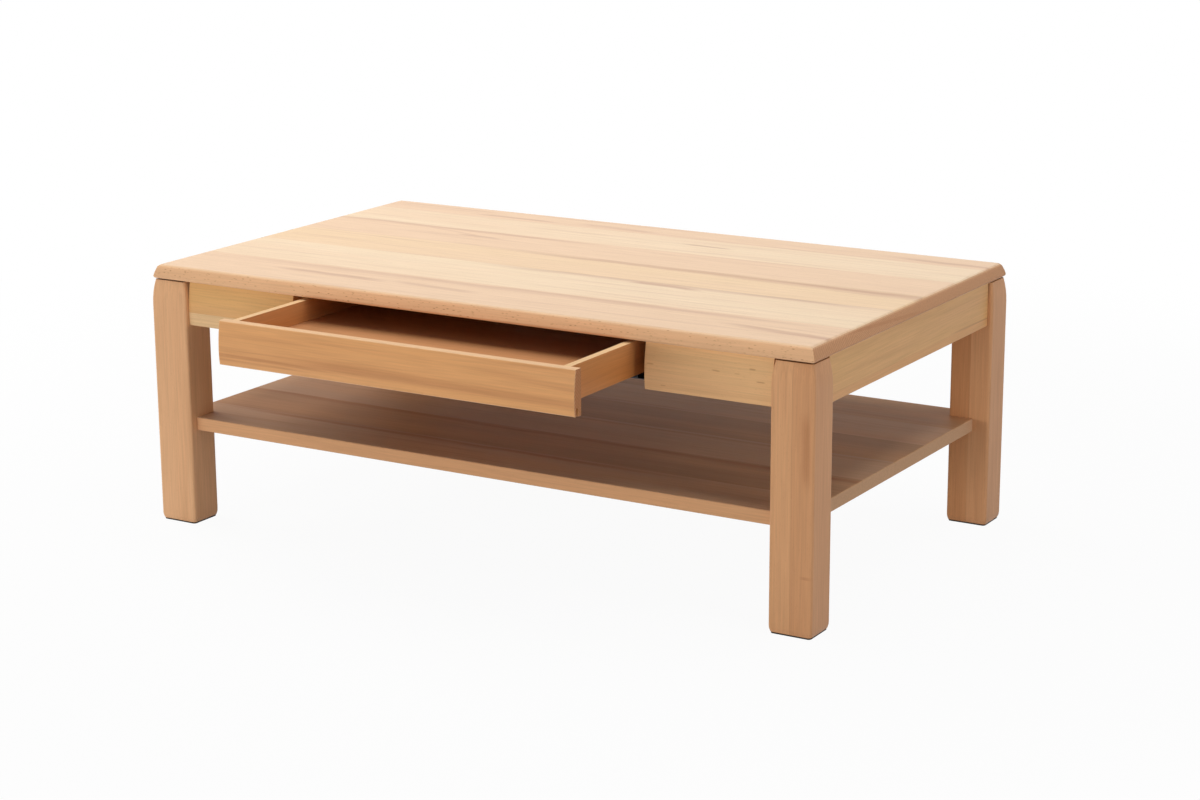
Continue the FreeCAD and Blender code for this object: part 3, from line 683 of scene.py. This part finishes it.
class COFFEETABLE_OT_runners(Operator):
    """Make the runners, their slide pads and the locking clips"""

    bl_idname = "coffee_table.runners"
    bl_label = "Runners"

    def execute(self, context):
        fixing = context.scene.coffee_table_fixing
        # Powder coating is near black, with a fine grit that softens the highlight
        rail = mottled(
            "dark powder-coated steel", (shade(fixing.rail, 0.7), shade(fixing.rail, 1.2)),
            size=0.8, roughness=(0.35, 0.5), bump_depth=0.05,
        )
        # Nylon is milky and almost white, with a waxy highlight
        nylon = mottled(
            "natural nylon", (shade(fixing.nylon, 0.9), fixing.nylon),
            size=2.5, roughness=(0.4, 0.55), bump_depth=0.03,
        )
        # Moulded plastic is black, with a fine grain that breaks the highlight
        clip = mottled(
            "black moulded plastic", (shade(fixing.clip, 0.7), shade(fixing.clip, 1.4)),
            size=0.9, roughness=(0.4, 0.6), bump_depth=0.08,
        )
        for side in SIDES:
            for member in ("cabinet_rail", "middle_rail", "drawer_rail"):
                eased(f"{member}_{side}", fixing.ease, rail)
            eased(f"slide_pads_{side}", fixing.ease, nylon)
            eased(f"lock_clip_{side}", fixing.ease * MOULDED_EASE, clip)
        return {"FINISHED"}


def zinc_plate(fixing):
    """Zinc-plated steel: a bright grey mirror, dulled and faintly mottled by the plating."""
    return mottled(
        "zinc-plated steel", (shade(fixing.zinc, 0.8), fixing.zinc),
        size=3.0, roughness=(0.25, 0.42), bump_depth=0.02, metallic=1.0,
    )


class COFFEETABLE_OT_fixings(Operator):
    """Make the bolts, washers, nuts and angle brackets"""

    bl_idname = "coffee_table.fixings"
    bl_label = "Bolts and Brackets"

    def execute(self, context):
        fixing = context.scene.coffee_table_fixing
        zinc = zinc_plate(fixing)
        for node in ("leg_bolts", "leg_washers", "leg_nuts", "top_brackets"):
            eased(node, fixing.ease, zinc)
        return {"FINISHED"}


# Sides of a screw's head, its crown as a share of its foot, and its recess as a share of its width
SCREW_SIDES = 20
SCREW_CROWN = 0.7
RECESS_SPAN = 0.6
SPIN_SEED = 4


def screw_tree():
    """A tree that sets a pan-head cross screw on each point, turned to the point's facing."""
    tree = bpy.data.node_groups.new("pan head screws", "GeometryNodeTree")
    tree.interface.new_socket("Geometry", in_out="INPUT", socket_type="NodeSocketGeometry")
    for name in ("Head Diameter", "Head Height", "Recess Width", "Recess Depth"):
        tree.interface.new_socket(name, in_out="INPUT", socket_type="NodeSocketFloat")
    tree.interface.new_socket("Finish", in_out="INPUT", socket_type="NodeSocketMaterial")
    tree.interface.new_socket("Geometry", in_out="OUTPUT", socket_type="NodeSocketGeometry")
    sizes = add(tree, "NodeGroupInput").node.outputs

    radius = add(tree, "ShaderNodeMath", {0: sizes["Head Diameter"], 1: 0.5}, operation="MULTIPLY")
    crown = add(tree, "ShaderNodeMath", {0: radius, 1: SCREW_CROWN}, operation="MULTIPLY")
    head = add(
        tree,
        "GeometryNodeMeshCone",
        {
            "Vertices": SCREW_SIDES,
            "Radius Top": crown,
            "Radius Bottom": radius,
            "Depth": sizes["Head Height"],
        },
        out="Mesh",
    )
    # Two crossed bars, half sunk in the head, cut its recess
    span = add(
        tree, "ShaderNodeMath", {0: sizes["Head Diameter"], 1: RECESS_SPAN}, operation="MULTIPLY"
    )
    tall = add(tree, "ShaderNodeMath", {0: sizes["Recess Depth"], 1: 2.0}, operation="MULTIPLY")
    lift = add(tree, "ShaderNodeCombineXYZ", {"Z": sizes["Head Height"]})
    cutters = []
    for x, y in ((span, sizes["Recess Width"]), (sizes["Recess Width"], span)):
        size = add(tree, "ShaderNodeCombineXYZ", {"X": x, "Y": y, "Z": tall})
        bar = add(tree, "GeometryNodeMeshCube", {"Size": size}, out="Mesh")
        cutters.append(add(tree, "GeometryNodeTransform", {"Geometry": bar, "Translation": lift}))
    for cutter in cutters:
        pair = {"Mesh 1": head, "Mesh 2": cutter}
        head = add(tree, "GeometryNodeMeshBoolean", pair, out="Mesh", operation="DIFFERENCE")

    facing = add(tree, "GeometryNodeInputNamedAttribute", {"Name": "facing"}, data_type="FLOAT_VECTOR")
    upright = add(tree, "FunctionNodeAlignRotationToVector", {"Vector": facing}, axis="Z")
    angle = add(
        tree, "FunctionNodeRandomValue", {2: 0.0, 3: math.pi, "Seed": SPIN_SEED}, out=1, data_type="FLOAT"
    )
    spin = add(tree, "FunctionNodeAxisAngleToRotation", {"Axis": (0, 0, 1), "Angle": angle})
    turn = add(
        tree, "FunctionNodeRotateRotation", {"Rotation": upright, "Rotate By": spin}, rotation_space="LOCAL"
    )
    screws = add(
        tree,
        "GeometryNodeInstanceOnPoints",
        {"Points": sizes["Geometry"], "Instance": head, "Rotation": turn},
    )
    screws = add(tree, "GeometryNodeRealizeInstances", {"Geometry": screws})
    screws = add(tree, "GeometryNodeSetMaterial", {"Geometry": screws, "Material": sizes["Finish"]})
    add_end(tree, "NodeGroupOutput", screws)
    return tree


def span_of(points):
    """The lowest and the highest corner round some points."""
    sides = list(zip(*points))
    return Vector([min(side) for side in sides]), Vector([max(side) for side in sides])


def node_span(node):
    """The lowest and the highest corner of a CAD node."""
    return span_of([vertex.co for vertex in frame["nodes"][node].data.vertices])


def solids_of(node):
    """The points of each separate solid in a CAD node."""
    shape = bmesh.new()
    shape.from_mesh(frame["nodes"][node].data)
    bmesh.ops.remove_doubles(shape, verts=shape.verts, dist=MERGE_DISTANCE)
    left = set(shape.verts)
    solids = []
    while left:
        waiting = [left.pop()]
        points = []
        while waiting:
            vertex = waiting.pop()
            points.append(vertex.co.copy())
            for edge in vertex.link_edges:
                neighbour = edge.other_vert(vertex)
                if neighbour in left:
                    left.remove(neighbour)
                    waiting.append(neighbour)
        solids.append(points)
    shape.free()
    return solids


# Where screws sit, in millimetres from a fitting's edges and in shares of its length
BRACKET_SHEET = 2.0
BRACKET_REACH = 18.5
BRACKET_SPREAD = 8.0
BLOCK_SHARES = (0.16, 0.84)
BLOCK_MARGIN = 12.0
RAIL_SHEET = 1.5
RAIL_SHARES = (0.04, 0.26, 0.61, 0.96)
RAIL_DROP = 11.5
CLIP_MARGIN = (6.5, 10.0, 7.4)
CLIP_FACING = Vector((0, 0.25, -0.968))
BACK_SHARES = (0.12, 0.31, 0.5, 0.69, 0.88)
UP = Vector((0, 0, 1))


def mirrored(screws, flip_y=False):
    """Screws at the right front, repeated at the left and, when asked, at the back."""
    flips = [(x, y) for x in (1, -1) for y in ((1, -1) if flip_y else (1,))]
    turns = [Matrix.Diagonal((*flip, 1)) for flip in flips]
    return [(turn @ place, turn @ facing) for turn in turns for place, facing in screws]


def bracket_screws():
    """Two screws through each leg of every angle bracket."""
    screws = []
    for points in solids_of("top_brackets"):
        low, high = span_of(points)
        middle = (low + high) / 2
        # An angle's points gather towards its bend, which shows where its wall is
        lean = sum(points, Vector()) / len(points) - middle
        axis = 0 if abs(lean.x) > abs(lean.y) else 1
        inward = Vector()
        inward[axis] = -math.copysign(1, lean[axis])
        bend = middle.copy()
        bend[axis] = high[axis] if lean[axis] > 0 else low[axis]
        bend.z = high.z
        for off in (-BRACKET_SPREAD, BRACKET_SPREAD):
            along = bend + inward.cross(UP) * off * MM
            screws.append((along + (inward * BRACKET_REACH - UP * BRACKET_SHEET) * MM, -UP))
            screws.append((along + (inward * BRACKET_SHEET - UP * BRACKET_REACH) * MM, inward))
    return screws


def frame_screws():
    """Screws of the corner blocks, the top's brackets and the cabinet rails."""
    low, high = node_span("corner_block_front_right")
    across = Vector((high.x - low.x, high.y - low.y, 0))
    facing = UP.cross(across).normalized()
    blocks = []
    for share in BLOCK_SHARES:
        for height in (low.z + BLOCK_MARGIN * MM, high.z - BLOCK_MARGIN * MM):
            blocks.append((Vector((low.x, low.y, height)) + across * share, facing))
    low, high = node_span("cabinet_rail_right")
    rails = []
    for share in RAIL_SHARES:
        place = Vector((high.x - RAIL_SHEET * MM, low.y + share * (high.y - low.y), high.z - RAIL_DROP * MM))
        rails.append((place, Vector((-1, 0, 0))))
    return mirrored(blocks, flip_y=True) + mirrored(rails) + bracket_screws()


def drawer_screws():
    """Screws of the locking clips and of the bottom under the drawer's back."""
    low, high = node_span("lock_clip_right")
    across, back, down = (margin * MM for margin in CLIP_MARGIN)
    y, z = high.y - back, high.z - down
    clips = [(Vector((x, y, z)), CLIP_FACING) for x in (low.x + across, high.x - across)]
    low, high = node_span("drawer_back")
    under = node_span("drawer_bottom")[0].z
    middle = (low.y + high.y) / 2
    bottom = [(Vector((low.x + share * (high.x - low.x), middle, under)), -UP) for share in BACK_SHARES]
    return mirrored(clips) + bottom


class COFFEETABLE_OT_screws(Operator):
    """Set the wood screws, one mesh for each body"""

    bl_idname = "coffee_table.screws"
    bl_label = "Screws"

    def execute(self, context):
        fixing = context.scene.coffee_table_fixing
        tree = screw_tree()
        sizes = {
            "Head Diameter": fixing.head,
            "Head Height": fixing.head_height,
            "Recess Width": fixing.recess_width,
            "Recess Depth": fixing.recess_depth,
            "Finish": bpy.data.materials["zinc-plated steel"],
        }
        for body, screws in (("frame", frame_screws()), ("drawer", drawer_screws())):
            mesh = bpy.data.meshes.new(f"{body}_screws")
            mesh.from_pydata([place for place, facing in screws], [], [])
            facings = mesh.attributes.new("facing", "FLOAT_VECTOR", "POINT")
            facings.data.foreach_set("vector", [part for place, facing in screws for part in facing])
            piece = bpy.data.objects.new(f"{body}_screws", mesh)
            context.scene.collection.objects.link(piece)
            setter = piece.modifiers.new("screws", "NODES")
            setter.node_group = tree
            for item in tree.interface.items_tree:
                if item.in_out == "INPUT" and item.name in sizes:
                    setter[item.identifier] = sizes[item.name]
            settle(piece)
            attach(piece, body)
        return {"FINISHED"}


# The photograph's viewing angle, with the place in metres
CAMERA_PLACE = Vector((2.1601, -3.5274, 1.2677))
CAMERA_YAW = math.radians(31.015)
CAMERA_PITCH = math.radians(14.454)
CAMERA_ROLL = math.radians(-0.304)
# Half the floor's side, and its distances from the table between which the last shadow fades, in metres
FLOOR_HALF = 9.0
FLOOR_FADE = {"From Min": 0.9, "From Max": 2.4}
# Share of plain white that the viewer sees on the floor near the table, over the paper and its shadow
FLOOR_LIFT = {"To Min": 0.95, "To Max": 1.0}
PAPER_WHITE = {"To Min": 0.61, "To Max": 0.63}
PAPER_SCALE = 3.0
# Each lamp's place, the place that it looks at and its size, in metres
OVERHEAD_LAMP = ((0.0, 0.1, 2.8), (0.0, 0.0, 0.4), (3.4, 2.2))
FRONT_LAMP = ((-0.7, -3.3, 0.4), (0.0, -0.3, 0.25), (4.6, 0.55))
SIDE_LAMP = ((-2.8, 0.2, 1.6), (-0.4, 0.0, 0.2), (1.6, 1.0))
FILL_LAMP = ((3.2, -0.6, 1.1), (0.3, 0.0, 0.2), (1.6, 1.0))


def soft_lamp(name, place, target, size, power):
    """A large soft lamp that looks at a place on the table and stays out of its reflections."""
    lamp = bpy.data.lights.new(name, "AREA")
    lamp.shape = "RECTANGLE"
    lamp.size, lamp.size_y = size
    lamp.energy = power
    holder = bpy.data.objects.new(name, lamp)
    holder.location = place
    holder.visible_glossy = False
    holder.rotation_euler = (Vector(target) - Vector(place)).to_track_quat("-Z", "Y").to_euler()
    bpy.context.scene.collection.objects.link(holder)


def seen_ray(tree):
    """One for rays that the viewer sees: straight, mirrored or through glass."""
    path = add(tree, "ShaderNodeLightPath").node.outputs
    seen = add(
        tree, "ShaderNodeMath", {0: path["Is Camera Ray"], 1: path["Is Glossy Ray"]}, operation="MAXIMUM"
    )
    return add(tree, "ShaderNodeMath", {0: seen, 1: path["Is Transmission Ray"]}, operation="MAXIMUM")


class COFFEETABLE_OT_stage(Operator):
    """Set up the white floor, the white room, the soft lamps and the camera"""

    bl_idname = "coffee_table.stage"
    bl_label = "Studio"

    def execute(self, context):
        stage = context.scene.coffee_table_stage
        # Paper is an even matt white, with the faintest clouds in it
        material, tree = new_material("white paper floor")
        place = add(tree, "ShaderNodeTexCoord", out="Object")
        grain = add(tree, "ShaderNodeTexNoise", {"Vector": place, "Scale": PAPER_SCALE})
        white = add(tree, "ShaderNodeMapRange", {"Value": grain, **PAPER_WHITE})
        paper = add(tree, "ShaderNodeBsdfDiffuse", {"Color": white})
        glow = add(tree, "ShaderNodeEmission", {"Strength": 1.0})
        away = add(tree, "ShaderNodeVectorMath", {0: place}, out="Value", operation="LENGTH")
        lift = add(tree, "ShaderNodeMapRange", {"Value": away, **FLOOR_FADE, **FLOOR_LIFT}, **SOFT)
        lift = add(tree, "ShaderNodeMath", {0: seen_ray(tree), 1: lift}, operation="MULTIPLY")
        surface = add(tree, "ShaderNodeMixShader", {0: lift, 1: paper, 2: glow})
        add_end(tree, "ShaderNodeOutputMaterial", surface)

        mesh = bpy.data.meshes.new("floor")
        half = FLOOR_HALF
        corners = [(-half, -half, 0), (half, -half, 0), (half, half, 0), (-half, half, 0)]
        mesh.from_pydata(corners, [], [(0, 1, 2, 3)])
        mesh.materials.append(material)
        floor = bpy.data.objects.new("floor", mesh)
        context.scene.collection.objects.link(floor)

        world = bpy.data.worlds.new("white room")
        world.use_nodes = True
        tree = world.node_tree
        tree.nodes.clear()
        strength = add(
            tree, "ShaderNodeMapRange", {"Value": seen_ray(tree), "To Min": stage.ambient, "To Max": 1.0}
        )
        sky = add(tree, "ShaderNodeBackground", {"Color": (1, 1, 1), "Strength": strength})
        add_end(tree, "ShaderNodeOutputWorld", sky)
        context.scene.world = world

        soft_lamp("overhead lamp", *OVERHEAD_LAMP, stage.top_power)
        soft_lamp("front lamp", *FRONT_LAMP, stage.front_power)
        soft_lamp("side lamp", *SIDE_LAMP, stage.side_power)
        soft_lamp("fill lamp", *FILL_LAMP, stage.fill_power)

        back = Vector((
            math.sin(CAMERA_YAW) * math.cos(CAMERA_PITCH),
            -math.cos(CAMERA_YAW) * math.cos(CAMERA_PITCH),
            math.sin(CAMERA_PITCH),
        ))
        right = Vector((math.cos(CAMERA_YAW), math.sin(CAMERA_YAW), 0))
        up = back.cross(right)
        turn = Matrix((right, up, back)).transposed() @ Matrix.Rotation(CAMERA_ROLL, 3, "Z")
        camera = bpy.data.objects.new("camera", bpy.data.cameras.new("camera"))
        camera.data.lens = stage.lens
        camera.matrix_world = Matrix.Translation(CAMERA_PLACE) @ turn.to_4x4()
        context.scene.collection.objects.link(camera)
        context.scene.camera = camera
        context.scene.view_settings.view_transform = "Standard"
        return {"FINISHED"}


STEPS = (
    COFFEETABLE_OT_top,
    COFFEETABLE_OT_legs,
    COFFEETABLE_OT_aprons,
    COFFEETABLE_OT_inner_frame,
    COFFEETABLE_OT_shelf,
    COFFEETABLE_OT_drawer,
    COFFEETABLE_OT_runners,
    COFFEETABLE_OT_fixings,
    COFFEETABLE_OT_screws,
    COFFEETABLE_OT_stage,
)


class COFFEETABLE_PT_sidebar(Panel):
    """Lists the table's pieces and settings"""

    bl_idname = "COFFEETABLE_PT_sidebar"
    bl_label = "Coffee Table"
    bl_space_type = "VIEW_3D"
    bl_region_type = "UI"
    bl_category = "Coffee Table"

    def draw(self, context):
        for step in STEPS:
            self.layout.operator(step.bl_idname)
        for settings in (
            context.scene.coffee_table_wood,
            context.scene.coffee_table_fixing,
            context.scene.coffee_table_stage,
        ):
            box = self.layout.box()
            for name in settings.__annotations__:
                box.prop(settings, name)


SETTINGS = {
    "coffee_table_wood": WoodSettings,
    "coffee_table_fixing": FixingSettings,
    "coffee_table_stage": StageSettings,
}
CLASSES = (*SETTINGS.values(), *STEPS, COFFEETABLE_PT_sidebar)


def register():
    for made in CLASSES:
        bpy.utils.register_class(made)
    for name, settings in SETTINGS.items():
        setattr(bpy.types.Scene, name, PointerProperty(type=settings))


def unregister():
    for name in SETTINGS:
        delattr(bpy.types.Scene, name)
    for made in reversed(CLASSES):
        bpy.utils.unregister_class(made)


def main():
    """Registers the add-on and makes every piece in order."""
    register()
    for step in STEPS:
        getattr(bpy.ops.coffee_table, step.bl_idname.split(".")[1])()


if __name__ == "__main__":
    main()
